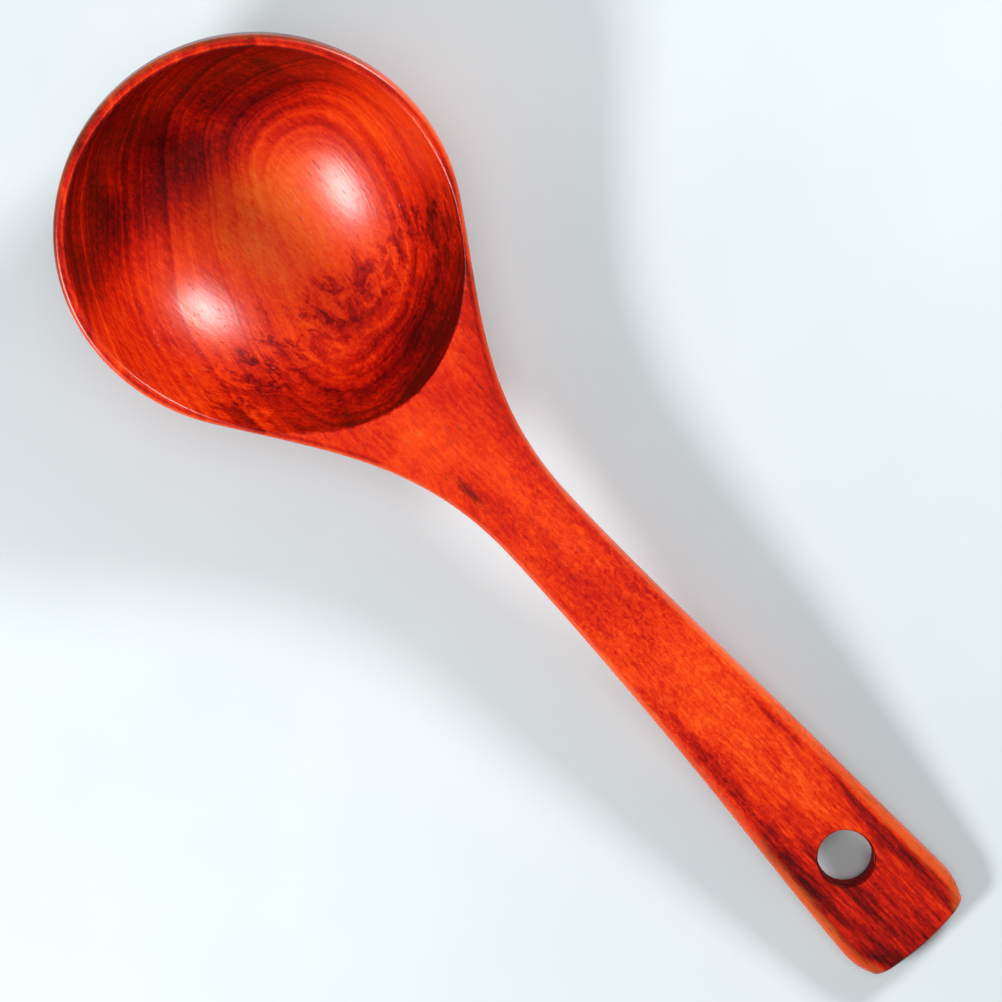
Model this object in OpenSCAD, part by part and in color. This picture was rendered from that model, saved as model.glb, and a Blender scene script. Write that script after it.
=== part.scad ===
// Wooden ladle, carved from one blank and lacquered red.
//
// The shape is worked out in the bowl's own frame: the origin is the centre of the rim,
// +X runs along the handle, +Y is to its side and +Z is the bowl's axis.
// at_rest() then lays the ladle down on its bowl and the far end of its handle, as it
// rests on a table, with the origin under the middle of its bounding box.
// The three nodes are the regions of the one blank. They meet face to face.

/* [Bowl] */
// Outside diameter of the rim
bowl_d = 92; // [84:1:100]
// Depth of the hollow under the rim's plane
bowl_depth = 33; // [28:0.5:36]
// Thickness of the wall at the rim
rim_t = 2.8; // [2.6:0.1:3.4]
// Thickness of the wall under the middle of the bowl
bottom_t = 4.5; // [3.5:0.5:7]
// How far the hollow is drawn out toward the handle, as a factor on its radius
hollow_stretch = 1.185; // [1.1:0.005:1.2]
// Angle at which the bowl's wall meets the rim on the inside
wall_angle = 73; // [66:1:78]
// Radius of the rounded lip inside the rim
lip_r = 0.9; // [0.5:0.1:1]

/* [Neck] */
// Width of the neck at its narrowest
neck_w = 19.5; // [16:0.5:24]
// Distance from the bowl's centre to the narrowest place of the neck
neck_x = 93; // [88:1:98]
// Angle to the handle at which the flare leaves the round bowl
flare_angle = 32.5; // [31:0.5:34]
// Thickness of the wood at the neck
neck_t = 11; // [9:0.5:13]
// Rise of the handle away from the rim's plane, in degrees
rise_angle = 9.3; // [6:0.1:12]

/* [Handle] */
// Length from the bowl's centre to the end of the handle
handle_l = 226.7; // [215:0.1:240]
// Width of the handle at its widest, near the end
grip_w = 31.2; // [28:0.2:34]
// Thickness of the handle at its end
end_t = 7; // [6:0.5:9]
// Radius in which the handle droops toward its end
droop_r = 2300; // [1800:100:4000]
// Sideways bow of the handle
handle_bow = 1.4; // [0:0.1:3]
// Depth of the shallow trough carved along the broad end of the handle
trough_d = 0.9; // [0:0.1:1.2]
// Diameter of the hanging hole
hole_d = 13; // [8:0.5:14]
// Distance from the hanging hole's axis to the end of the handle
hole_inset = 28; // [24:1:40]

/* [Fineness] */
// Steps round the bowl's outline
steps_round = 56; // [32:4:80]
// Steps across a quarter of a rounded edge
steps_edge = 3; // [2:1:4]
// Length of one step along the neck and handle
step_l = 5; // [3:1:8]

/* [Hidden] */

bowl_r = bowl_d / 2;
hollow_r = bowl_r - rim_t;
hollow_x = hollow_r * hollow_stretch;
outer_depth = bowl_depth + bottom_t;
// Reach of the belly's round toward the handle, a little more than the hollow's
belly_stretch = 1.217;
outer_x = bowl_r * belly_stretch;
// Exponent of the hollow's edge on the handle's side: a little under an ellipse's 2
hollow_power = 1.87;

// Where the blank is divided: the neck line beside the bowl, and the handle line
neck_line = 62;
handle_line = 97;

// Edge rounding on the bowl and neck, growing along the handle toward its end
edge_b = 1.3;
edge_b_end = 3.6;
edge_h = 1.3;
edge_h_end = 2.2;
// Height of the straight band under the rounded top edge
band_h = 1.5;

// The bulge of the end, its corners, and the shoulder from the grip's widest place to them
end_bulge = 2;
shoulder_l = 10;
shoulder_inset = 2.4;
corner_x = handle_l - end_bulge;
corner_y = grip_w / 2 - shoulder_inset;
grip_x = corner_x - shoulder_l;
// Rounding of the last edge, all round the end face
end_round = 1.2;

hole_x = handle_l - hole_inset;

// Short steps over which a slope is measured: along the outline and faces, and on the keel
face_step = 1;
keel_step = 0.5;

steps_hollow = 11;
steps_lip = 2;
steps_land = 3;
steps_under = 15;
steps_face = 8;
steps_curve = 16;
steps_hole = 48;

// ---- plane curves ----

// 0 up to x0, 1 from x1 on, and a smooth change between them
function between(x, x0, x1) =
    let (s = min(1, max(0, (x - x0) / (x1 - x0))))
        s * s * (3 - 2 * s);

function bezier(a, b, c, d, t) =
    a * pow(1 - t, 3) + 3 * b * t * pow(1 - t, 2) + 3 * c * t * t * (1 - t) + d * pow(t, 3);

function bezier_points(a, b, c, d) =
    [for (i = [1:steps_curve]) bezier(a, b, c, d, i / steps_curve)];

// The outline's half, as [distance along the handle, half width]: the round bowl, the flare
// that runs into the neck, the grip that widens slowly, and the shoulder at the end
flare_start = bowl_r * [sin(flare_angle), cos(flare_angle)];
neck_point = [neck_x, neck_w / 2];
flare_corner = [flare_start.x + (flare_start.y - neck_point.y) / tan(flare_angle), neck_point.y];
grip_point = [grip_x, grip_w / 2];
corner_point = [corner_x, corner_y];

// How far each curve follows the line at its start and at its end, and the slopes there
flare_start_pull = 0.5;
flare_end_pull = 1.3;
neck_pull = 32;
grip_pull = 40;
grip_slope = 0.05;
shoulder_start_pull = 0.4 * shoulder_l;
shoulder_end_pull = 0.35 * shoulder_l;
corner_slope = -0.6;

arc_points = [
    for (i = [0:2 * steps_curve])
        let (a = 180 - (90 + flare_angle) * i / (2 * steps_curve))
            bowl_r * [cos(a), sin(a)]
];
flare_points = bezier_points(
    flare_start,
    flare_start + flare_start_pull * (flare_corner - flare_start),
    neck_point + flare_end_pull * (flare_corner - neck_point),
    neck_point
);
grip_points = bezier_points(
    neck_point,
    neck_point + [neck_pull, 0],
    grip_point - grip_pull * [1, grip_slope],
    grip_point
);
shoulder_points = bezier_points(
    grip_point,
    grip_point + shoulder_start_pull * [1, grip_slope],
    corner_point - shoulder_end_pull * [1, corner_slope],
    corner_point
);
outline = concat(arc_points, flare_points, grip_points, shoulder_points);

function half_w(x) = lookup(x, outline);

function outline_slope(x) = (half_w(x + face_step / 2) - half_w(x - face_step / 2)) / face_step;

// Distance in from the outline, measured square to it
function edge_distance(x, y) =
    x < flare_start.x
        ? bowl_r - norm([x, y])
        : (half_w(x) - abs(y)) / norm([1, outline_slope(x)]);

// Height of the top face along the ladle: level on the bowl, rising on the neck round
// rise_start within about rise_blend, drooping a little toward the end
rise_start = 45;
rise_blend = 30;
function sheer(x) =
    tan(rise_angle) * (norm([x - rise_start, rise_blend]) + x - rise_start) / 2
    - pow(max(0, x - rise_start), 2) / (2 * droop_r);

// Sideways offset of the ladle's middle line: out beside the bowl, most of the way back
// along the grip
bow_out = [-35, 35];
bow_back = [150, 220];
bow_back_share = 0.85;
function bow(x) =
    handle_bow * (between(x, bow_out[0], bow_out[1]) - bow_back_share * between(x, bow_back[0], bow_back[1]));

// ---- sections ----

function along(x) = between(x, neck_x, grip_x);
function edge_width(x) = edge_b + (edge_b_end - edge_b) * along(x);
function edge_height(x) = edge_h + (edge_h_end - edge_h) * along(x);
function wood_t(x) = neck_t + (end_t - neck_t) * between(x, neck_line, handle_l);

function edge_drop(x, q) =
    let (b = edge_width(x), s = min(1, max(0, 1 - q / b)))
        edge_height(x) * (1 - sqrt(1 - s * s));

// The trough deepens along the handle and is flat across most of its width
trough_share = 0.78;
trough_from = 110;
trough_to = 210;
function trough(x, y) =
    let (v = min(1, abs(y) / (trough_share * half_w(x))))
        trough_d * between(x, trough_from, trough_to) * (1 - pow(v, 4));

// Top of the wood at [x, y], outside the hollow
function top_z(x, y) = sheer(x) - edge_drop(x, edge_distance(x, y)) - trough(x, y);

// Lower corner of the band round the edge
function edge_z(x) = sheer(x) - edge_height(x) - band_h;

// Keel, the lowest line of the underside: the bowl's round belly, a hollow curve up to the
// neck, then the wood's thickness under the top face
belly_drop = outer_depth - edge_h - band_h;
function belly_z(x) = edge_z(x) - belly_drop * sqrt(max(0, 1 - pow(x / (x > 0 ? outer_x : bowl_r), 2)));
function thickness_z(x) = sheer(x) - wood_t(x);
keel_from = 30;
keel_to = 78;
keel_start_pull = 17;
keel_end_pull = 23;
keel_start = [keel_from, belly_z(keel_from)];
keel_end = [keel_to, thickness_z(keel_to)];
keel_start_slope = (belly_z(keel_from + keel_step / 2) - belly_z(keel_from - keel_step / 2)) / keel_step;
keel_end_slope = (thickness_z(keel_to + keel_step / 2) - thickness_z(keel_to - keel_step / 2)) / keel_step;
keel_points = concat(
    [keel_start],
    bezier_points(
        keel_start,
        keel_start + keel_start_pull * [1, keel_start_slope],
        keel_end - keel_end_pull * [1, keel_end_slope],
        keel_end
    )
);
function keel_z(x) =
    x < keel_from ? belly_z(x)
        : x < keel_to ? lookup(x, keel_points)
        : thickness_z(x);

// Underside at [x, y]: half an ellipse across the bowl, fuller across the neck and handle
bowl_power = 2;
neck_power = 2.6;
fuller_from = 20;
fuller_to = 70;
nearly_none = 0.001;
function section_power(x) = bowl_power + (neck_power - bowl_power) * between(x, fuller_from, fuller_to);
function bottom_z(x, y) =
    let (
        v = min(1, abs(y) / max(nearly_none, half_w(x))),
        n = section_power(x),
        full = pow(1 - pow(v, n), 1 / n)
    )
        edge_z(x) + (keel_z(x) - edge_z(x)) * full;

// ---- the bowl's rings ----

// Distances in from the edge at which a face is sampled, closer together where it rounds
function edge_steps(b) = [for (i = [0:steps_edge]) b * (1 - sin(90 * (1 - i / steps_edge)))];

// Places across the ladle at x, from one side to the other
function across_points(x) =
    let (
        w = half_w(x),
        rim = edge_steps(edge_width(x)),
        face = w - edge_width(x)
    )
        concat(
            [for (q = rim) q - w],
            [for (i = [1:steps_face - 1]) face * (2 * i / steps_face - 1)],
            [for (i = [steps_edge:-1:0]) w - rim[i]]
        );

// Running length of the outline from the neck line round the front of the bowl
function running(points, i, total = 0, so_far = [0]) =
    i >= len(points) ? so_far
        : let (next = total + norm(points[i] - points[i - 1]))
            running(points, i + 1, next, concat(so_far, [next]));

half_round = concat(
    arc_points,
    [for (p = flare_points) if (p.x < neck_line) p],
    [[neck_line, half_w(neck_line)]]
);
half_run = running(half_round, 1);
half_run_x = [for (i = [0:len(half_round) - 1]) [half_run[i], half_round[i].x]];
half_run_y = [for (i = [0:len(half_round) - 1]) [half_run[i], half_round[i].y]];
half_total = half_run[len(half_run) - 1];

// The closed loop round the bowl: across the neck line, then along the outline
neck_line_points = [for (y = across_points(neck_line)) [neck_line, y]];
round_points = [
    for (i = [1:steps_round - 1])
        let (
            s = 2 * half_total * i / steps_round,
            side = s < half_total ? 1 : -1,
            run = abs(half_total - s)
        )
            [lookup(run, half_run_x), side * lookup(run, half_run_y)]
];
bowl_loop = concat(neck_line_points, round_points);

// The hollow's edge in the direction of p
function on_hollow_edge(p) =
    p.x > 0
        ? let (n = hollow_power) p / pow(pow(p.x / hollow_x, n) + pow(abs(p.y) / hollow_r, n), 1 / n)
        : p * hollow_r / norm(p);

// Share of the lip's and the edge's rounding that fits on the rim beside loop point p
rim_room = 2.4;
function rim_share(p) = min(1, norm(p - on_hollow_edge(p)) / rim_room);

lip_h = lip_r * (1 - cos(wall_angle));
lip_w = lip_r * sin(wall_angle);

// Point of the hollow under loop point p, a from 0 in the middle to wall_angle at the lip
function hollow_point(p, a) =
    let (
        e = on_hollow_edge(p),
        s = sin(a) / sin(wall_angle),
        depth = (cos(a) - cos(wall_angle)) / (1 - cos(wall_angle))
    )
        [e.x * s, e.y * s, (sheer(e.x) - lip_h) * pow(s, 4) - (bowl_depth - lip_h) * depth];

// Point of the rounded lip, a from wall_angle at the hollow to 0 on the top face
function lip_point(p, a) =
    let (
        e = on_hollow_edge(p),
        q = e + rim_share(p) * (lip_w - lip_r * sin(a)) * e / norm(e)
    )
        [q.x, q.y, top_z(q.x, q.y) - lip_r * (1 - cos(a))];

// Point of the top face between the lip and the rounded outer edge
function land_point(p, t) =
    let (
        e = on_hollow_edge(p),
        u = (p - e) / norm(p - e),
        inner = e + rim_share(p) * lip_w * e / norm(e),
        outer = p - rim_share(p) * edge_b * u,
        q = inner + t * (outer - inner)
    )
        [q.x, q.y, top_z(q.x, q.y)];

function edge_point(p, back) =
    let (
        e = on_hollow_edge(p),
        q = p - rim_share(p) * back * (p - e) / norm(p - e)
    )
        [q.x, q.y, top_z(q.x, q.y)];

function under_point(p, s) = [p.x * s, p.y * s, bottom_z(p.x * s, p.y * s)];

bowl_rings = concat(
    [for (i = [1:steps_hollow]) [for (p = bowl_loop) hollow_point(p, wall_angle * i / steps_hollow)]],
    [for (i = [1:steps_lip]) [for (p = bowl_loop) lip_point(p, wall_angle * (1 - i / steps_lip))]],
    [for (i = [1:steps_land]) [for (p = bowl_loop) land_point(p, i / steps_land)]],
    [
        for (i = [1:steps_edge])
            [for (p = bowl_loop) edge_point(p, edge_b * (1 - sin(90 * i / steps_edge)))]
    ],
    [for (i = [0:steps_under - 1]) [for (p = bowl_loop) under_point(p, cos(90 * i / steps_under))]]
);

// ---- the neck's and handle's rings ----

// How much of the end's bulge a ring takes, and the ring's place at y
function bulge(x, y) =
    end_bulge * between(x, hole_x + hole_d, corner_x) * (1 - pow(y / half_w(x), 2));

function ring(x) =
    let (ys = across_points(x), n = len(ys) - 1)
        concat(
            [for (y = ys) [x + bulge(x, y), y, top_z(x, y)]],
            [for (i = [n:-1:0]) [x + bulge(x, ys[i]), ys[i], bottom_z(x, ys[i])]]
        );

// The last rings shrink toward the end face, which rounds its edge
function end_ring(a) =
    let (
        x = corner_x - end_round,
        inset = end_round * (1 - cos(a)),
        middle = sheer(x) - wood_t(x) / 2,
        full = ring(x),
        narrow = 1 - inset / half_w(x),
        flat = 1 - 2 * inset / wood_t(x)
    )
        [for (p = full) [p.x + end_round * sin(a), p.y * narrow, middle + (p.z - middle) * flat]];

function stations(x0, x1) =
    let (n = ceil((x1 - x0) / step_l))
        [for (i = [0:n]) x0 + (x1 - x0) * i / n];

neck_rings = [for (x = stations(neck_line, handle_line)) ring(x)];
handle_rings = concat(
    [for (x = stations(handle_line, corner_x - end_round)) ring(x)],
    [for (i = [1:steps_edge]) end_ring(90 * i / steps_edge)]
);

// ---- solids from rings ----

function bent(p) = [p.x, p.y + bow(p.x), p.z];

function joined(rings) = [for (r = rings) each [for (p = r) bent(p)]];

function wall_faces(count, n) = [
    for (k = [0:count - 2])
        for (i = [0:n - 1])
            let (a = k * n + i, b = k * n + (i + 1) % n)
                each [[a, b, b + n], [a, b + n, a + n]]
];

// Rings closed at both ends by a point
module domed(first, rings, last) {
    n = len(rings[0]);
    count = len(rings);
    ring_points = joined(rings);
    total = len(ring_points);
    first_faces = [for (i = [0:n - 1]) [total, (i + 1) % n, i]];
    base = (count - 1) * n;
    last_faces = [for (i = [0:n - 1]) [total + 1, base + i, base + (i + 1) % n]];
    polyhedron(
        points = concat(ring_points, [bent(first), bent(last)]),
        faces = concat(wall_faces(count, n), first_faces, last_faces)
    );
}

// Rings closed at both ends by a flat cap, whose upper and lower points face each other
module capped(rings) {
    n = len(rings[0]);
    count = len(rings);
    base = (count - 1) * n;
    caps = [
        for (i = [0:n / 2 - 2])
            each [
                [i, n - 1 - i, n - 2 - i],
                [i, n - 2 - i, i + 1],
                [base + i, base + n - 2 - i, base + n - 1 - i],
                [base + i, base + i + 1, base + n - 2 - i]
            ]
    ];
    polyhedron(points = joined(rings), faces = concat(wall_faces(count, n), caps));
}

// ---- lying at rest ----

// The ladle rests on its belly and on the foot of the last rings: the line that has all the
// underside above it gives the angle
ring_size = len(handle_rings[0]);
foot = [for (i = [1:steps_edge + 1]) handle_rings[len(handle_rings) - i][(3 * ring_size - 2) / 4]];
belly_reach = 30;
belly_step = 0.5;
belly = [for (x = [-belly_reach:belly_step:belly_reach]) [x, bottom_z(x, 0)]];
rest_angle = min([for (f = foot) max([for (b = belly) atan2(f.z - b.y, f.x - b.x)])]);

function turned(p) = [
    p.x * cos(rest_angle) + p.z * sin(rest_angle),
    p.y,
    p.z * cos(rest_angle) - p.x * sin(rest_angle)
];

all_points = [for (p = concat(joined(bowl_rings), joined(handle_rings))) turned(p)];
lowest = [for (i = [0:2]) min([for (p = all_points) p[i]])];
highest = [for (i = [0:2]) max([for (p = all_points) p[i]])];

module at_rest() {
    translate([-(lowest.x + highest.x) / 2, -(lowest.y + highest.y) / 2, -lowest.z])
        rotate([0, rest_angle, 0])
            children();
}

// ---- sub-parts ----

// The round bowl with its hollow, its rim and the start of the flare
module bowl() {
    color("firebrick")
        at_rest()
            domed([0, 0, -bowl_depth], bowl_rings, [0, 0, bottom_z(0, 0)]);
}

// The neck, from the flare beside the bowl to its narrowest place
module neck() {
    color("orangered")
        at_rest()
            capped(neck_rings);
}

// The long handle with its trough and its hanging hole
module handle() {
    face_angle = atan((sheer(hole_x + face_step / 2) - sheer(hole_x - face_step / 2)) / face_step);
    through_l = 4 * end_t;
    color("tomato")
        at_rest()
            difference() {
                capped(handle_rings);
                translate([hole_x, bow(hole_x), sheer(hole_x) - wood_t(hole_x) / 2])
                    rotate([0, -face_angle, 0])
                        cylinder(h = through_l, d = hole_d, center = true, $fn = steps_hole);
            }
}

bowl();
neck();
handle();
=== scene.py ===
"""Lacquered wooden ladle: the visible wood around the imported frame.

The CAD nodes bowl, neck and handle are regions of one carved blank. This script carves the
same blank more finely, with rounded lips and hole edges, and cuts it at the same two lines.
Lengths in the shape section are millimetres in the bowl's own frame: the origin is the centre
of the rim, +X runs along the handle and +Z is the bowl's axis.
"""
import bisect
import math

import bmesh
import bpy
from mathutils import Matrix, Vector


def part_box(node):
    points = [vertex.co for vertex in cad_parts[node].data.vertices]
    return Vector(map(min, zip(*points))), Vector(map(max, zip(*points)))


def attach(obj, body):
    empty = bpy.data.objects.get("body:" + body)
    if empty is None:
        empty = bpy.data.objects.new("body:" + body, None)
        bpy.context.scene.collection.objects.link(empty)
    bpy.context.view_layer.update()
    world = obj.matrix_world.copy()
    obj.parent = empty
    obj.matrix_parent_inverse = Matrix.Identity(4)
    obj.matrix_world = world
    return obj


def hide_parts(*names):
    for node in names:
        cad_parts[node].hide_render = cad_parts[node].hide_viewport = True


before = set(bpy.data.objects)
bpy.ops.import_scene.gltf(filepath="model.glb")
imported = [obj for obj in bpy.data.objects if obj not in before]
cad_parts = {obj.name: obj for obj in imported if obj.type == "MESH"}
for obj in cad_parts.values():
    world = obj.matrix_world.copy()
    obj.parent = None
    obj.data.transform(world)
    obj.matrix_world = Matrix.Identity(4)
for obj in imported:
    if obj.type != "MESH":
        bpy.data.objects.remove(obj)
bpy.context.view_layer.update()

MM = 0.001

# ---------------------------------------------------------------- driving dimensions, mm

BOWL_R = 46.0
BOWL_DEPTH = 33.0
RIM_T = 2.8
BOTTOM_T = 4.5
WALL_ANGLE = math.radians(73)
LIP_R = 0.9
HOLLOW_STRETCH = 1.185
HOLLOW_R = BOWL_R - RIM_T
HOLLOW_X = HOLLOW_R * HOLLOW_STRETCH
HOLLOW_POWER = 1.87
BELLY_STRETCH = 1.217
OUTER_DEPTH = BOWL_DEPTH + BOTTOM_T
OUTER_X = BOWL_R * BELLY_STRETCH

NECK_X = 93.0
NECK_W = 19.5
NECK_T = 11.0
FLARE_ANGLE = math.radians(32.5)
RISE_ANGLE = math.radians(9.3)
RISE_START = 45.0
RISE_BLEND = 30.0

HANDLE_L = 226.7
GRIP_W = 31.2
END_T = 7.0
END_BULGE = 2.0
END_ROUND = 1.2
DROOP_R = 2300.0
HANDLE_BOW = 1.4
BOW_BACK_SHARE = 0.85
TROUGH_D = 0.9
TROUGH_SHARE = 0.78
SHOULDER_L = 10.0
SHOULDER_INSET = 2.4
CORNER_X = HANDLE_L - END_BULGE
CORNER_Y = GRIP_W / 2 - SHOULDER_INSET
GRIP_X = CORNER_X - SHOULDER_L

HOLE_R = 6.5
HOLE_INSET = 28.0
HOLE_X = HANDLE_L - HOLE_INSET
HOLE_ROUND = 0.7

EDGE_B, EDGE_B_END = 1.3, 3.6
EDGE_H, EDGE_H_END = 1.3, 2.2
BAND_H = 1.5
RIM_ROOM = 2.4

# How far each curve of the outline and the keel follows its line at either end, and the slopes
FLARE_START_PULL = 0.5
FLARE_END_PULL = 1.3
NECK_PULL = 32.0
GRIP_PULL = 40.0
GRIP_SLOPE = 0.05
SHOULDER_START_PULL = 0.4 * SHOULDER_L
SHOULDER_END_PULL = 0.35 * SHOULDER_L
CORNER_SLOPE = -0.6
KEEL_FROM, KEEL_TO = 30.0, 78.0
KEEL_START_PULL, KEEL_END_PULL = 17.0, 23.0

# The underside's power across the bowl, half an ellipse, and across the neck and handle
BOWL_POWER, NECK_POWER = 2.0, 2.6

# Where the blank is divided, as in the CAD
NECK_LINE = 62.0
HANDLE_LINE = 97.0

# Fineness of the carving
STEPS_ROUND = 168
STEPS_EDGE = 7
STEPS_FACE = 26
STEPS_HOLLOW = 44
STEPS_LIP = 6
STEPS_LAND = 6
STEPS_UNDER = 40
STEPS_CURVE = 40
STEP_L = 1.6
STEPS_HOLE = 7
STEPS_BORE = 5
HOLE_REACH = 12.0


# ---------------------------------------------------------------- plane curves

def between(x, x0, x1):
    """0 up to x0, 1 from x1 on, and a smooth change between them."""
    t = min(1.0, max(0.0, (x - x0) / (x1 - x0)))
    return t * t * (3 - 2 * t)


def bezier_points(a, b, c, d):
    """Points of a cubic curve after its start, in STEPS_CURVE steps."""
    points = []
    for i in range(1, STEPS_CURVE + 1):
        t = i / STEPS_CURVE
        u = 1 - t
        points.append(a * u ** 3 + b * (3 * t * u * u) + c * (3 * t * t * u) + d * t ** 3)
    return points


class Curve:
    """A line through [x, y] points with growing x, read by x."""

    def __init__(self, points):
        self.xs = [p[0] for p in points]
        self.ys = [p[1] for p in points]

    def __call__(self, x):
        i = bisect.bisect_right(self.xs, x)
        if i == 0:
            return self.ys[0]
        if i == len(self.xs):
            return self.ys[-1]
        x0, x1 = self.xs[i - 1], self.xs[i]
        t = (x - x0) / (x1 - x0)
        return self.ys[i - 1] * (1 - t) + self.ys[i] * t


def outline_parts():
    """The half outline from the front of the bowl to the handle's end corner."""
    start = Vector((math.sin(FLARE_ANGLE), math.cos(FLARE_ANGLE))) * BOWL_R
    neck = Vector((NECK_X, NECK_W / 2))
    corner = Vector((start.x + (start.y - neck.y) / math.tan(FLARE_ANGLE), neck.y))
    grip = Vector((GRIP_X, GRIP_W / 2))
    end = Vector((CORNER_X, CORNER_Y))
    arc = []
    for i in range(2 * STEPS_CURVE + 1):
        a = math.pi - (math.pi / 2 + FLARE_ANGLE) * i / (2 * STEPS_CURVE)
        arc.append(Vector((math.cos(a), math.sin(a))) * BOWL_R)
    flare = bezier_points(
        start,
        start + FLARE_START_PULL * (corner - start),
        neck + FLARE_END_PULL * (corner - neck),
        neck,
    )
    widening = bezier_points(
        neck,
        neck + Vector((NECK_PULL, 0)),
        grip - GRIP_PULL * Vector((1, GRIP_SLOPE)),
        grip,
    )
    shoulder = bezier_points(
        grip,
        grip + SHOULDER_START_PULL * Vector((1, GRIP_SLOPE)),
        end - SHOULDER_END_PULL * Vector((1, CORNER_SLOPE)),
        end,
    )
    return arc, flare, widening + shoulder


ARC, FLARE, GRIP = outline_parts()
half_w = Curve(ARC + FLARE + GRIP)
FLARE_START = ARC[-1].x


def edge_distance(x, y):
    """Distance in from the outline, measured square to it."""
    if x < FLARE_START:
        return BOWL_R - math.hypot(x, y)
    return (half_w(x) - abs(y)) / math.hypot(1, half_w(x + 0.5) - half_w(x - 0.5))


def sheer(x):
    """Height of the top face: level on the bowl, rising on the neck, drooping to the end."""
    d = x - RISE_START
    rise = math.tan(RISE_ANGLE) * (math.hypot(d, RISE_BLEND) + d) / 2
    return rise - max(0.0, d) ** 2 / (2 * DROOP_R)


def bow(x):
    """Sideways offset of the ladle's middle line: out beside the bowl, back along the grip."""
    return HANDLE_BOW * (between(x, -35, 35) - BOW_BACK_SHARE * between(x, 150, 220))


# ---------------------------------------------------------------- surfaces

def along(x):
    """How far x is along the widening grip, from 0 at the neck to 1."""
    return between(x, NECK_X, GRIP_X)


def edge_width(x):
    return EDGE_B + (EDGE_B_END - EDGE_B) * along(x)


def edge_height(x):
    return EDGE_H + (EDGE_H_END - EDGE_H) * along(x)


def wood_t(x):
    """Thickness of the neck and handle."""
    return NECK_T + (END_T - NECK_T) * between(x, NECK_LINE, HANDLE_L)


def top_z(x, y):
    """The top face outside the hollow: the sheer, less the rounded edge and the trough."""
    s = min(1.0, max(0.0, 1 - edge_distance(x, y) / edge_width(x)))
    drop = edge_height(x) * (1 - math.sqrt(1 - s * s))
    v = min(1.0, abs(y) / (TROUGH_SHARE * half_w(x)))
    trough = TROUGH_D * between(x, 110, 210) * (1 - v ** 4)
    return sheer(x) - drop - trough


def edge_z(x):
    """Height of the lower corner of the band round the edge."""
    return sheer(x) - edge_height(x) - BAND_H


def belly_z(x):
    reach = OUTER_X if x > 0 else BOWL_R
    return edge_z(x) - (OUTER_DEPTH - EDGE_H - BAND_H) * math.sqrt(max(0.0, 1 - (x / reach) ** 2))


def thickness_z(x):
    return sheer(x) - wood_t(x)


def slope(height, x, step=0.5):
    """Slope of a height along the ladle at x, measured over a short step."""
    return (height(x + step / 2) - height(x - step / 2)) / step


def keel_curve():
    """The hollow curve that joins the bowl's belly to the neck's underside."""
    start = Vector((KEEL_FROM, belly_z(KEEL_FROM)))
    end = Vector((KEEL_TO, thickness_z(KEEL_TO)))
    return Curve([start] + bezier_points(
        start,
        start + KEEL_START_PULL * Vector((1, slope(belly_z, KEEL_FROM))),
        end - KEEL_END_PULL * Vector((1, slope(thickness_z, KEEL_TO))),
        end,
    ))


keel_joint = keel_curve()


def keel_z(x):
    """Height of the keel, the lowest line of the underside."""
    if x < KEEL_FROM:
        return belly_z(x)
    return keel_joint(x) if x < KEEL_TO else thickness_z(x)


def bottom_z(x, y):
    """The underside: half an ellipse across the bowl, fuller across the neck and handle."""
    v = min(1.0, abs(y) / max(0.001, half_w(x)))
    n = BOWL_POWER + (NECK_POWER - BOWL_POWER) * between(x, 20, 70)
    full = (1 - v ** n) ** (1 / n)
    return edge_z(x) + (keel_z(x) - edge_z(x)) * full


# ---------------------------------------------------------------- rings of the bowl

def rounding(steps):
    """Shares of a rounded edge's width, from 1 at its inner side to 0 at the edge."""
    return [1 - math.sin(math.pi / 2 * i / steps) for i in range(steps + 1)]


def across(x):
    """Places across the ladle at x, closer together in the rounded edges."""
    w, b = half_w(x), edge_width(x)
    edge = [b * s for s in reversed(rounding(STEPS_EDGE))]
    face = [(w - b) * (2 * i / STEPS_FACE - 1) for i in range(1, STEPS_FACE)]
    return [q - w for q in edge] + face + [w - q for q in reversed(edge)]


def bowl_loop():
    """Points across the neck line, then round the outline, anticlockwise from above."""
    half = ARC + [p for p in FLARE if p.x < NECK_LINE] + [Vector((NECK_LINE, half_w(NECK_LINE)))]
    run = [0.0]
    for a, b in zip(half, half[1:]):
        run.append(run[-1] + (b - a).length)
    place_x = Curve(list(zip(run, [p.x for p in half])))
    place_y = Curve(list(zip(run, [p.y for p in half])))
    loop = [Vector((NECK_LINE, y)) for y in across(NECK_LINE)]
    for i in range(1, STEPS_ROUND):
        s = 2 * run[-1] * i / STEPS_ROUND
        side = 1 if s < run[-1] else -1
        at = abs(run[-1] - s)
        loop.append(Vector((place_x(at), side * place_y(at))))
    return loop


def hollow_edge(p):
    """Where the hollow's edge lies in the direction of p."""
    if p.x > 0:
        n = HOLLOW_POWER
        return p / ((p.x / HOLLOW_X) ** n + (abs(p.y) / HOLLOW_R) ** n) ** (1 / n)
    return p * HOLLOW_R / p.length


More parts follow.
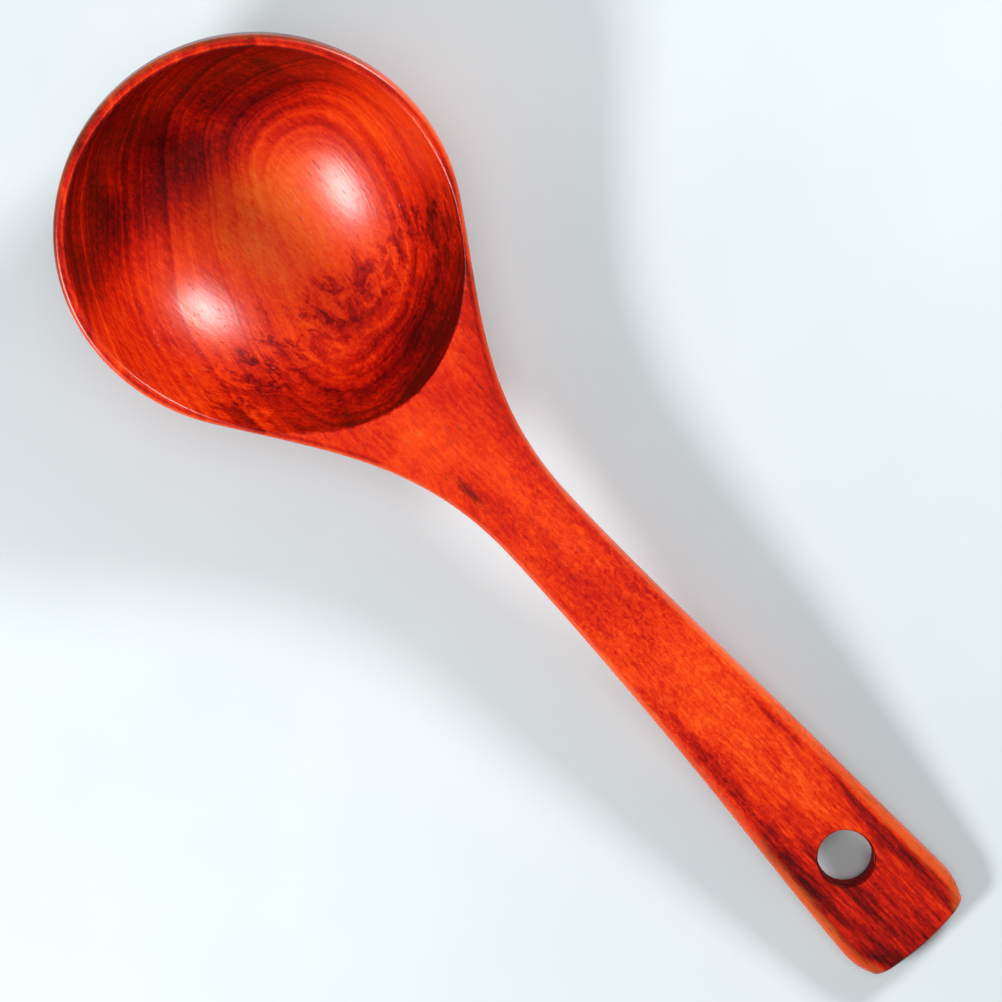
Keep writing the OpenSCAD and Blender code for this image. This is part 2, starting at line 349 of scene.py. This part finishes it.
def bowl_rings():
    """Rings from the middle of the hollow over the rim to the middle of the belly.

    Returns them with the numbers of the outer edge's ring and of the first ring under it.
    """
    loop = bowl_loop()
    lips = [hollow_edge(p) for p in loop]
    room = [min(1.0, (p - e).length / RIM_ROOM) for p, e in zip(loop, lips)]
    lip_h = LIP_R * (1 - math.cos(WALL_ANGLE))
    lip_w = LIP_R * math.sin(WALL_ANGLE)
    rings = []
    for i in range(1, STEPS_HOLLOW + 1):
        a = WALL_ANGLE * i / STEPS_HOLLOW
        s = math.sin(a) / math.sin(WALL_ANGLE)
        depth = (math.cos(a) - math.cos(WALL_ANGLE)) / (1 - math.cos(WALL_ANGLE))
        ring = []
        for e in lips:
            z = (sheer(e.x) - lip_h) * s ** 4 - (BOWL_DEPTH - lip_h) * depth
            ring.append(Vector((e.x * s, e.y * s, z)))
        rings.append(ring)
    for i in range(1, STEPS_LIP + 1):
        a = WALL_ANGLE * (1 - i / STEPS_LIP)
        ring = []
        for e, r in zip(lips, room):
            q = e + r * (lip_w - LIP_R * math.sin(a)) * e.normalized()
            ring.append(Vector((q.x, q.y, top_z(q.x, q.y) - LIP_R * (1 - math.cos(a)))))
        rings.append(ring)
    inner = [e + r * lip_w * e.normalized() for e, r in zip(lips, room)]
    outer = [p - r * EDGE_B * (p - e).normalized() for p, e, r in zip(loop, lips, room)]
    for i in range(1, STEPS_LAND + 1):
        t = i / STEPS_LAND
        flat = [a + t * (b - a) for a, b in zip(inner, outer)]
        rings.append([Vector((q.x, q.y, top_z(q.x, q.y))) for q in flat])
    for share in rounding(STEPS_EDGE)[1:]:
        back = [p + share * (o - p) for p, o in zip(loop, outer)]
        rings.append([Vector((q.x, q.y, top_z(q.x, q.y))) for q in back])
    edge_ring = len(rings) - 1
    for i in range(STEPS_UNDER):
        s = math.cos(math.pi / 2 * i / STEPS_UNDER)
        rings.append([Vector((p.x * s, p.y * s, bottom_z(p.x * s, p.y * s))) for p in loop])
    return rings, edge_ring, edge_ring + 1


# ---------------------------------------------------------------- the carved blank

class Blank:
    """The ladle's whole skin: points, faces and the region that each face belongs to."""

    def __init__(self):
        self.points = []
        self.faces = []
        self.regions = []

    def add(self, points):
        first = len(self.points)
        self.points += points
        return list(range(first, len(self.points)))

    def face(self, region, *corners):
        self.faces.append(corners)
        self.regions.append(region)

    def bridge(self, region, a, b, closed=True):
        """Faces between two rings of the same size."""
        n = len(a)
        for i in range(n if closed else n - 1):
            j = (i + 1) % n
            self.face(region, a[i], a[j], b[j], b[i])

    def fan(self, region, ring, middle):
        for i in range(len(ring)):
            self.face(region, ring[i], ring[(i + 1) % len(ring)], middle)


def bulge(x, y):
    """How far a place near the end moves out, so that the end is convex."""
    start = HOLE_X + 2 * HOLE_R
    return END_BULGE * between(x, start, CORNER_X) * (1 - (y / half_w(x)) ** 2)


def ring_at(x):
    """The ring round the neck or handle at x: along the top one way, back along the underside."""
    ys = across(x)
    top = [Vector((x + bulge(x, y), y, top_z(x, y))) for y in ys]
    under = [Vector((x + bulge(x, y), y, bottom_z(x, y))) for y in reversed(ys)]
    return top + under


def end_ring(a):
    """A ring that is turned by the angle a, up to 90 degrees, round the end face's edge."""
    x = CORNER_X - END_ROUND
    shrink = END_ROUND * (1 - math.cos(a))
    middle = sheer(x) - wood_t(x) / 2
    narrow = 1 - shrink / half_w(x)
    flat = 1 - 2 * shrink / wood_t(x)
    out = END_ROUND * math.sin(a)
    return [Vector((p.x + out, p.y * narrow, middle + (p.z - middle) * flat)) for p in ring_at(x)]


def stations(x0, x1):
    """Places from x0 to x1, in equal steps of STEP_L or a little less."""
    n = math.ceil((x1 - x0) / STEP_L)
    return [x0 + (x1 - x0) * i / n for i in range(n + 1)]


def hole_rings(blank, border, surface, middle_x, down):
    """Rings from a patch's border to the hole, then over its rounded edge. Returns the last."""
    centre = Vector((middle_x, 0))
    flat = [Vector((blank.points[i].x, blank.points[i].y)) for i in border]
    rims = [centre + (p - centre).normalized() * (HOLE_R + HOLE_ROUND) for p in flat]
    ring = border
    for k in range(1, STEPS_HOLE + 1):
        t = k / STEPS_HOLE
        places = [p + t * (r - p) for p, r in zip(flat, rims)]
        new = blank.add([Vector((q.x, q.y, surface(q.x, q.y))) for q in places])
        blank.bridge("handle", ring, new)
        ring = new
    for k in range(1, STEPS_LIP + 1):
        a = math.pi / 2 * k / STEPS_LIP
        r = HOLE_R + HOLE_ROUND * (1 - math.sin(a))
        fall = down * HOLE_ROUND * (1 - math.cos(a))
        places = [centre + (q - centre).normalized() * r for q in rims]
        new = blank.add([Vector((q.x, q.y, surface(q.x, q.y) - fall)) for q in places])
        blank.bridge("handle", ring, new)
        ring = new
    return ring


def carve():
    """Makes the whole skin. Returns it with the rings at the neck line and the handle line."""
    blank = Blank()
    rings, edge, under = bowl_rings()
    bowl = [blank.add(r) for r in rings]
    span = len(across(NECK_LINE))
    blank.fan("bowl", bowl[0], blank.add([Vector((0, 0, -BOWL_DEPTH))])[0])
    for k in range(len(bowl) - 1):
        if k != edge:
            blank.bridge("bowl", bowl[k], bowl[k + 1])
    # The band under the edge leaves the neck line open, where the neck's first ring joins
    open_side = list(range(span - 1, len(bowl[0]))) + [0]
    blank.bridge("bowl", [bowl[edge][i] for i in open_side], [bowl[under][i] for i in open_side], False)
    blank.fan("bowl", bowl[-1], blank.add([Vector((0, 0, bottom_z(0, 0)))])[0])

    neck_ring = bowl[edge][:span] + bowl[under][:span][::-1]
    neck = [neck_ring] + [blank.add(ring_at(x)) for x in stations(NECK_LINE, HANDLE_LINE)[1:]]
    for a, b in zip(neck, neck[1:]):
        blank.bridge("neck", a, b)

    handle_ring = neck[-1]
    xs = stations(HANDLE_LINE, CORNER_X - END_ROUND)
    handle = [handle_ring] + [blank.add(ring_at(x)) for x in xs[1:]]
    hole_from = max(k for k, x in enumerate(xs) if x < HOLE_X - HOLE_REACH)
    hole_to = min(k for k, x in enumerate(xs) if x > HOLE_X + HOLE_REACH)
    left, right = STEPS_EDGE, span - 1 - STEPS_EDGE
    size = 2 * span
    for k, (a, b) in enumerate(zip(handle, handle[1:])):
        for i in range(size):
            column = min(i, size - 2 - i)
            in_patch = hole_from <= k < hole_to and left <= column < right and i != size - 1
            if not in_patch:
                j = (i + 1) % size
                blank.face("handle", a[i], a[j], b[j], b[i])
    for i in range(STEPS_EDGE):
        last = blank.add(end_ring(math.pi / 2 * (i + 1) / STEPS_EDGE))
        blank.bridge("handle", handle[-1], last)
        handle.append(last)
    cap(blank, "handle", handle[-1])

    # The hanging hole: the same border on the top and on the underside, joined by the bore
    border = [(hole_from, j) for j in range(left, right)]
    border += [(k, right) for k in range(hole_from, hole_to)]
    border += [(hole_to, j) for j in range(right, left, -1)]
    border += [(k, left) for k in range(hole_to, hole_from, -1)]
    lean = slope(sheer, HOLE_X, 1.0) * wood_t(HOLE_X) / 2
    above = [handle[k][j] for k, j in border]
    below = [handle[k][size - 1 - j] for k, j in border]
    mouth = hole_rings(blank, above, top_z, HOLE_X - lean, 1)
    foot = hole_rings(blank, below, bottom_z, HOLE_X + lean, -1)
    ring = mouth
    for k in range(1, STEPS_BORE):
        t = k / STEPS_BORE
        new = blank.add([blank.points[a].lerp(blank.points[b], t) for a, b in zip(mouth, foot)])
        blank.bridge("handle", ring, new)
        ring = new
    blank.bridge("handle", ring, foot)
    return blank, neck_ring, handle_ring


def cap(blank, region, ring):
    """Closes a ring whose upper and lower points face each other."""
    n = len(ring)
    for i in range(n // 2 - 1):
        blank.face(region, ring[i], ring[i + 1], ring[n - 2 - i], ring[n - 1 - i])


# ---------------------------------------------------------------- lying at rest

def rest_angle():
    """The tilt at which the belly and the foot of the end both touch the table."""
    belly = [(x / 2, bottom_z(x / 2, 0)) for x in range(-60, 61)]
    foot = []
    for i in range(STEPS_EDGE + 1):
        ring = end_ring(math.pi / 2 * i / STEPS_EDGE)
        middle_below = ring[(3 * len(ring) - 2) // 4]
        foot.append((middle_below.x, middle_below.z))
    return min(max(math.atan2(f[1] - b[1], f[0] - b[0]) for b in belly) for f in foot)


REST_ANGLE = rest_angle()


def inset(p):
    """How far a point is from the top edge, as a share of the bevel's width.

    Across the top it counts in from the outline, and on the sides down from the edge.
    """
    x = min(p.x, CORNER_X)
    inward = max(0.0, edge_distance(x, p.y)) / edge_width(x)
    down = (sheer(x) - edge_height(x) - p.z) / BAND_H
    return max(inward, down)


def lay_down(points):
    """Bends, tilts and places the points as the CAD does, in metres in the shared frame.

    Returns them with the offset in mm that takes a place, tilted back, to the bowl's frame.
    """
    turn = Matrix.Rotation(REST_ANGLE, 3, "Y")
    turned = [turn @ Vector((p.x, p.y + bow(p.x), p.z)) for p in points]
    middle = [(min(p[i] for p in turned) + max(p[i] for p in turned)) / 2 for i in (0, 1)]
    lowest = min(p.z for p in turned)
    shift = Vector((middle[0], middle[1], lowest))
    return [(p - shift) * MM for p in turned], turn.transposed() @ shift


# ---------------------------------------------------------------- pieces

def outward_mesh(name, points, faces):
    """A mesh whose faces all point outward."""
    mesh = bpy.data.meshes.new(name)
    mesh.from_pydata(points, [], faces)
    work = bmesh.new()
    work.from_mesh(mesh)
    bmesh.ops.recalc_face_normals(work, faces=work.faces)
    work.to_mesh(mesh)
    work.free()
    return mesh


def cut_piece(name, blank, whole, lines, material):
    """One region of the skin, closed with flat caps where the blank is divided.

    It takes its normals from the whole skin, so that no cut shows.
    """
    corners = [tuple(p.vertices) for p, r in zip(whole.polygons, blank.regions) if r == name]
    skin_count = len(corners)
    caps = Blank()
    for line in lines:
        cap(caps, name, line)
    corners += caps.faces
    used = sorted({i for c in corners for i in c})
    number = {old: new for new, old in enumerate(used)}
    faces = [[number[i] for i in c] for c in corners]
    mesh = outward_mesh(name, [whole.vertices[i].co for i in used], faces)
    for p in mesh.polygons:
        p.use_smooth = True
    insets = mesh.attributes.new("inset", "FLOAT", "POINT")
    insets.data.foreach_set("value", [inset(blank.points[i]) for i in used])
    normals = []
    for p in mesh.polygons:
        for i in p.vertices:
            on_skin = p.index < skin_count
            normals.append(whole.vertices[used[i]].normal.copy() if on_skin else p.normal.copy())
    mesh.normals_split_custom_set(normals)
    mesh.materials.append(material)
    piece = bpy.data.objects.new("wood_" + name, mesh)
    bpy.context.scene.collection.objects.link(piece)
    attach(piece, "root")
    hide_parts(name)


# ---------------------------------------------------------------- materials

class Nodes:
    """Short calls for building a node tree."""

    def __init__(self, name):
        self.material = bpy.data.materials.new(name)
        self.material.use_nodes = True
        self.tree = self.material.node_tree
        self.tree.nodes.clear()

    def put(self, socket, value):
        if isinstance(value, bpy.types.NodeSocket):
            self.tree.links.new(value, socket)
        else:
            socket.default_value = value

    def add(self, kind, inputs=None, **settings):
        node = self.tree.nodes.new("ShaderNode" + kind)
        for key, value in settings.items():
            setattr(node, key, value)
        for key, value in (inputs or {}).items():
            self.put(node.inputs[key], value)
        return node

    def math(self, operation, a, b=0.0, c=0.0):
        return self.add("Math", {0: a, 1: b, 2: c}, operation=operation).outputs[0]

    def product(self, first, *others):
        for other in others:
            first = self.math("MULTIPLY", first, other)
        return first

    def total(self, first, *others):
        for other in others:
            first = self.math("ADD", first, other)
        return first

    def about_zero(self, noise, amount):
        """Noise shifted from its middle to zero, times an amount."""
        return self.math("MULTIPLY", self.math("SUBTRACT", noise, 0.5), amount)

    def vector(self, operation, a, b=(0, 0, 0)):
        node = self.add("VectorMath", {0: a, 1: b}, operation=operation)
        return node.outputs["Value" if operation in ("DOT_PRODUCT", "LENGTH") else "Vector"]

    def far_from(self, place, point, stretch=(1, 1, 1)):
        """Distance from a point, with each axis stretched."""
        apart = self.vector("SUBTRACT", place, point)
        return self.vector("LENGTH", self.vector("MULTIPLY", apart, stretch))

    def noise(self, at, scale, detail, roughness, distortion=0.0):
        return self.add("TexNoise", {
            "Vector": at, "Scale": scale, "Detail": detail, "Roughness": roughness,
            "Distortion": distortion,
        }).outputs["Fac"]

    def fibrous(self, place, shrink, scale, detail, roughness, distortion=0.0):
        """Noise drawn out along the fibres: lengths along them count for less."""
        along_fibres = self.vector("MULTIPLY", place, (shrink, 1, 1))
        return self.noise(along_fibres, scale, detail, roughness, distortion)

    def line_noise(self, at, scale, detail, roughness):
        """Noise along one line, read by a single number."""
        return self.add("TexNoise", {
            "W": at, "Scale": scale, "Detail": detail, "Roughness": roughness,
        }, noise_dimensions="1D").outputs["Fac"]

    def spread(self, value, low, high, to_low=0.0, to_high=1.0):
        """to_low where the value is low, to_high where it is high, and a smooth change between."""
        node = self.add("MapRange", {
            "Value": value, "From Min": low, "From Max": high, "To Min": to_low, "To Max": to_high,
        }, interpolation_type="SMOOTHSTEP")
        return node.outputs["Result"]

    def float_mix(self, share, a, b):
        """The number a, moved by that share toward b."""
        return self.add("Mix", {"Factor": share, "A": a, "B": b}, data_type="FLOAT").outputs["Result"]

    def tint(self, share, colour, toward):
        """The colour, moved by that share toward another one."""
        node = self.add("Mix", {"Factor": share, "A": colour, "B": (*toward, 1)}, data_type="RGBA")
        return node.outputs["Result"]

    def ramp(self, value, stops):
        node = self.add("ValToRGB", {"Fac": value})
        steps = node.color_ramp.elements
        while len(steps) < len(stops):
            steps.new(1.0)
        for step, (place, colour) in zip(steps, stops):
            step.position = place
            step.color = (*colour, 1.0)
        return node.outputs["Color"]


# Colours of the wood by tone, for the stain and the painted shade alike, from the deepest to the palest
STAIN_AND_SHADE_TONES = [
    (0.00, (0.060, 0.001, 0.001)),
    (0.22, (0.240, 0.002, 0.001)),
    (0.45, (0.560, 0.011, 0.001)),
    (0.70, (0.830, 0.050, 0.003)),
    (1.00, (0.920, 0.150, 0.014)),
]
# Painted highlight colour for the bevels and the rim's outer edge
HIGHLIGHT_ORANGE = (1.0, 0.18, 0.03)
KNOT_BROWN = (0.09, 0.002, 0.002)
PORE_BROWN = (0.11, 0.002, 0.001)
# Painted shade colour for the wall inside the hanging hole
BORE_SHADE_BROWN = (0.05, 0.002, 0.002)
FLOOR_SHADES = [(0.3, (0.61, 0.69, 0.71)), (0.7, (0.68, 0.75, 0.765))]

# Places on the blank, mm: the middle of the pale clearing in the hollow, the place where the
# hollow's bottom runs level with the growth layers, and the knot on the neck
CLEARING = (5.0, 4.0, -BOWL_DEPTH)
LEVEL_PLACE = (14.0, 4.0, -BOWL_DEPTH)
KNOT = (76.5, -4.9, 0.0)


class Wood(Nodes):
    """Red-stained wood under gloss lacquer, cut from one blank with its grain along the handle.

    Places are in the blank's own frame in mm: +X along the fibres, the origin in the middle of
    the rim. The tone, of the stain and of the painted shade, runs from 0, the deepest, to 1, the
    palest.
    """

    def __init__(self, blank_offset):
        super().__init__("lacquered_wood")
        coordinates = self.add("TexCoord").outputs
        turn = (0, -REST_ANGLE, 0)
        self.place = self.add("Mapping", {
            "Vector": coordinates["Object"], "Scale": (1 / MM, 1 / MM, 1 / MM),
            "Rotation": turn, "Location": blank_offset,
        }, vector_type="POINT").outputs["Vector"]
        self.facing = self.add("Mapping", {
            "Vector": coordinates["Normal"], "Rotation": turn,
        }, vector_type="POINT").outputs["Vector"]
        self.at = self.add("SeparateXYZ", {0: self.place}).outputs
        self.x = self.at["X"]
        self.face = self.add("SeparateXYZ", {0: self.facing}).outputs
        self.inset = self.add("Attribute", attribute_name="inset").outputs["Fac"]

        self.on_bowl = self.spread(self.x, 52.0, 66.0, 1.0, 0.0)
        self.handle_side = self.spread(self.x, -6.0, 6.0)
        self.on_top = self.spread(self.face["Z"], 0.3, 0.6)
        from_hole = self.far_from(self.place, (HOLE_X, bow(HOLE_X), 0.0), (1, 1, 0))
        self.bore = self.spread(from_hole, HOLE_R + 0.8 * HOLE_ROUND, HOLE_R + 0.4 * HOLE_ROUND)

        # Figure of the wood: broad clouds, growth layers, long fibres, curly grit and pores
        self.clouds = self.fibrous(self.place, 0.4, 0.06, 3.0, 0.55, 0.5)
        self.rings = self.line_noise(self.growth_layers(), 0.30, 3.0, 0.6)
        self.fibres = self.fibrous(self.place, 0.06, 1.3, 4.0, 0.65, 0.2)
        self.grit = self.fibrous(self.place, 0.55, 0.95, 4.0, 0.72, 0.8)
        self.ragged = self.fibrous(self.place, 0.35, 0.26, 5.0, 0.72, 0.6)
        self.pores = self.spread(self.fibrous(self.place, 0.16, 1.9, 1.0, 0.5), 0.69, 0.78)

    def growth_layers(self):
        """Distance through the tree's growth layers, in mm.

        In the front half of the hollow the layers are steep, so they show as long streaks. In
        its handle half they lie level and show as arcs beside the rim. Along the handle they
        turn until they run with it.
        """
        slant = self.vector("DOT_PRODUCT", self.place, (0.64, 0.70, 0.0))
        steep = self.math("SMOOTH_MIN", slant, 12.0, 16.0)
        turned = self.product(self.at["Y"], self.spread(self.x, 50.0, 110.0, 0.0, 0.36))
        level = self.product(self.at["Z"], -0.74)
        sway = self.about_zero(self.fibrous(self.place, 0.4, 0.035, 2.0, 0.45), 12.0)
        return self.total(steep, turned, level, sway)

    def end_grain(self):
        """End grain drinks more stain: how much the hollow's walls darken across the fibres.

        Also returns the ragged border of dark flecks where the handle's side of it begins.
        """
        across_fibres = self.math("ABSOLUTE", self.face["X"])
        thirst = self.total(across_fibres, self.about_zero(self.ragged, 0.7))
        soft_thirst = self.total(across_fibres, self.about_zero(self.clouds, 0.35))
        toward_handle = self.spread(thirst, 0.45, 1.0, 0.0, 0.38)
        toward_front = self.spread(soft_thirst, 0.08, 0.5, 0.0, 0.43)
        darkening = self.product(
            self.float_mix(self.handle_side, toward_front, toward_handle), self.on_bowl)
        border = self.product(self.spread(thirst, 0.36, 0.5), self.spread(thirst, 0.72, 0.54))
        flecks = self.product(
            border, self.spread(self.ragged, 0.44, 0.6), self.handle_side, self.on_bowl)
        return darkening, flecks

    def figure(self):
        """How far rings, grit, clouds and fibres move the tone."""
        # The rings fade where the hollow's bottom runs level with the layers
        off_bottom = self.far_from(self.place, LEVEL_PLACE)
        rings_show = self.product(
            self.spread(off_bottom, 8.0, 30.0, 0.3, 0.8), self.spread(self.x, 60.0, 120.0, 1.0, 0.5))
        grit_shows = self.product(
            self.spread(self.x, 50.0, 130.0, 0.55, 1.0), self.spread(self.x, 150.0, 205.0, 1.0, 0.6))
        fibres_show = self.spread(self.x, 130.0, 200.0, 0.4, 1.0)
        return self.total(
            self.about_zero(self.rings, rings_show),
            self.about_zero(self.grit, grit_shows),
            self.about_zero(self.clouds, 0.75),
            self.about_zero(self.fibres, fibres_show),
        )

    def tone(self):
        """The hollow's middle and the neck are paler, and the broad end took the most stain.

        The broad end is darker here and there just inside its bevels, a darker line runs
        round the bowl's rim, and painted shade darkens the hollow's steep wall on the handle side.
        """
        pale_stretch = self.product(
            self.spread(self.x, 128.0, 155.0), self.spread(self.x, 198.0, 168.0))
        off_clearing = self.total(
            self.far_from(self.place, CLEARING), self.about_zero(self.clouds, 30.0))
        clearing = self.spread(off_clearing, 26.0, 8.0)
        # Painted shade: the hollow's steep wall on the handle side, where it faces back toward the
        # front, is painted darker
        faces_front = self.vector("DOT_PRODUCT", self.facing, (-0.86, -0.5, 0.0))
        painted_wall_shade = self.product(
            self.spread(faces_front, 0.55, 0.95), self.on_bowl, self.handle_side)
        rim_line = self.product(
            self.spread(self.inset, 0.55, 0.85), self.spread(self.inset, 1.5, 1.1),
            self.on_bowl, self.on_top)
        beside_bevel = self.product(
            self.spread(self.inset, 0.85, 1.15), self.spread(self.inset, 2.6, 1.3))
        darker_inside_bevels = self.product(
            beside_bevel, self.on_top, self.spread(self.x, 90.0, 190.0, 0.15, 1.0),
            self.spread(self.clouds, 0.58, 0.42, 0.25, 1.0))
        broad_end = self.spread(self.x, 120.0, 215.0)
        long_noise = self.fibrous(self.place, 0.05, 0.22, 3.0, 0.6, 0.3)
        streaks = self.product(self.spread(long_noise, 0.5, 0.68), broad_end)
        end_grain, flecks = self.end_grain()
        return self.total(
            self.spread(self.x, 42.0, 75.0, 0.58, 0.50),
            self.figure(),
            self.product(clearing, 0.24),
            self.product(pale_stretch, 0.15),
            self.product(rim_line, -0.16),
            self.product(end_grain, -1.0),
            self.product(painted_wall_shade, -0.26),
            self.product(broad_end, -0.12),
            self.product(flecks, -0.3),
            self.product(darker_inside_bevels, -0.22),
            self.product(streaks, -0.3),
        )

    def colour(self):
        """The stain's colour by tone, then the painted highlight on the edges, the knot, the pores and
        the painted shade in the bore.
        """
        colour = self.ramp(self.tone(), STAIN_AND_SHADE_TONES)

        # Painted highlight: the bevels and the rim's outer edge are painted paler orange, where light
        # catches them
        ragged_inset = self.total(self.inset, self.about_zero(self.fibres, 1.2))
        edge_highlight = self.product(
            self.spread(ragged_inset, 0.85, 0.3), self.spread(self.x, 60.0, 190.0, 0.3, 0.5),
            self.spread(self.clouds, 0.35, 0.6, 0.5, 1.0))
        colour = self.tint(edge_highlight, colour, HIGHLIGHT_ORANGE)

        off_knot = self.total(
            self.far_from(self.place, KNOT, (0.15, 0.6, 0.0)), self.about_zero(self.grit, 1.1))
        knot = self.product(self.spread(off_knot, 1.0, 0.1), self.spread(self.face["Z"], 0.0, 0.5))
        colour = self.tint(self.product(knot, 0.8), colour, KNOT_BROWN)
        colour = self.tint(self.product(self.pores, 0.5), colour, PORE_BROWN)
        # Painted shade: the bore's wall is painted dark brown for the shade inside the hole, together
        # with the deeper stain its end grain takes
        return self.tint(self.product(self.bore, 0.85), colour, BORE_SHADE_BROWN)

    def lacquered(self):
        """The finished material: the wood with a faint relief, under a gloss film that ripples."""
        relief = self.math("SUBTRACT", self.total(self.fibres, self.rings), self.pores)
        ripple = self.fibrous(self.place, 0.5, 0.09, 2.0, 0.5)
        film = self.total(self.product(ripple, 3.0), relief)
        wood_bump = self.add("Bump", {"Strength": 0.3, "Distance": 0.0001, "Height": relief})
        film_bump = self.add("Bump", {"Strength": 0.35, "Distance": 0.00012, "Height": film})
        shader = self.add("BsdfPrincipled", {
            "Base Color": self.colour(),
            "Roughness": self.spread(self.grit, 0.25, 0.75, 0.42, 0.58),
            "Normal": wood_bump.outputs["Normal"],
            "Specular IOR Level": 0.0,
            "Coat Weight": self.math("MULTIPLY_ADD", self.bore, -0.8, 0.9),
            "Coat Roughness": 0.27,
            "Coat IOR": 1.5,
            "Coat Normal": film_bump.outputs["Normal"],
        })
        self.add("OutputMaterial", {"Surface": shader.outputs["BSDF"]})
        return self.material


def plain_floor():
    """Pale table top with a barely visible mottle."""
    n = Nodes("pale_floor")
    place = n.add("TexCoord")
    mottle = n.noise(place.outputs["Object"], 6.0, 4.0, 0.6)
    colour = n.ramp(mottle, FLOOR_SHADES)
    shader = n.add("BsdfPrincipled", {"Base Color": colour, "Roughness": 0.6})
    n.add("OutputMaterial", {"Surface": shader.outputs["BSDF"]})
    return n.material


# ---------------------------------------------------------------- stage

def make_floor(size=6.0):
    half = size / 2
    corners = [(-half, -half, 0), (half, -half, 0), (half, half, 0), (-half, half, 0)]
    mesh = bpy.data.meshes.new("floor")
    mesh.from_pydata(corners, [], [(0, 1, 2, 3)])
    floor = bpy.data.objects.new("floor", mesh)
    mesh.materials.append(plain_floor())
    bpy.context.scene.collection.objects.link(floor)


def make_camera():
    """Looks down on the ladle, leaning a little to its +Y side, with the handle at lower right."""
    aim = Vector((-7.8, -4.7, 0)) * MM
    distance = 1.059
    lean = math.radians(6.8)
    handle_turn = math.radians(47.65)
    along_handle = Vector((1, 0, 0))
    to_side = Vector((0, math.cos(lean), -math.sin(lean)))
    back = Vector((0, math.sin(lean), math.cos(lean)))
    right = math.cos(handle_turn) * along_handle + math.sin(handle_turn) * to_side
    up = -math.sin(handle_turn) * along_handle + math.cos(handle_turn) * to_side
    data = bpy.data.cameras.new("camera")
    data.sensor_width = 36.0
    data.lens = 161.6766
    camera = bpy.data.objects.new("camera", data)
    axes = Matrix((right, up, back)).transposed().to_4x4()
    camera.matrix_world = Matrix.Translation(aim + distance * back) @ axes
    bpy.context.scene.collection.objects.link(camera)
    bpy.context.scene.camera = camera


def soft_light(name, target, power, direction, distance, long_side, short_side, long_way):
    """An oval softbox in that direction from the target, turned to face it."""
    data = bpy.data.lights.new(name, "AREA")
    data.shape = "ELLIPSE"
    data.size = long_side
    data.size_y = short_side
    data.energy = power
    light = bpy.data.objects.new(name, data)
    back = Vector(direction).normalized()
    wide = Vector(long_way)
    wide = (wide - wide.dot(back) * back).normalized()
    axes = Matrix((wide, back.cross(wide), back)).transposed().to_4x4()
    light.matrix_world = Matrix.Translation(target + back * distance) @ axes
    bpy.context.scene.collection.objects.link(light)
    return light


def make_lights(bowl_middle):
    """Two softboxes, one on each side of the handle, under a broad overhead fill and a pale sky."""
    soft_light(
        "softbox_front", bowl_middle, 5.4, direction=(-0.01, -0.81, 0.59), distance=0.8,
        long_side=0.31, short_side=0.17, long_way=(0.74, -0.67, 0),
    )
    soft_light(
        "softbox_back", bowl_middle, 5.0, direction=(-0.05, 0.86, 0.51), distance=0.8,
        long_side=0.27, short_side=0.18, long_way=(1, 0, 0),
    )
    # The fill lights without a reflection of its own, as through a polarising filter
    fill = soft_light(
        "overhead_fill", bowl_middle, 30.0, direction=(0.0, 0.12, 1.0), distance=3.0,
        long_side=1.9, short_side=1.9, long_way=(1, 0, 0),
    )
    fill.visible_glossy = False
    world = bpy.data.worlds.new("sky")
    world.use_nodes = True
    sky = world.node_tree.nodes["Background"]
    sky.inputs["Color"].default_value = (0.93, 0.97, 1.0, 1)
    sky.inputs["Strength"].default_value = 0.14
    bpy.context.scene.world = world


# ---------------------------------------------------------------- making it

blank, neck_ring, handle_ring = carve()
places, blank_offset = lay_down(blank.points)
skin = outward_mesh("blank", places, blank.faces)
wood = Wood(blank_offset).lacquered()
cut_piece("bowl", blank, skin, [neck_ring], wood)
cut_piece("neck", blank, skin, [neck_ring, handle_ring], wood)
cut_piece("handle", blank, skin, [handle_ring], wood)
bpy.data.meshes.remove(skin)

make_floor()
make_camera()
bowl_low, bowl_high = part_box("bowl")
make_lights((Vector(bowl_low) + Vector(bowl_high)) / 2)
bpy.context.scene.view_settings.view_transform = "Standard"
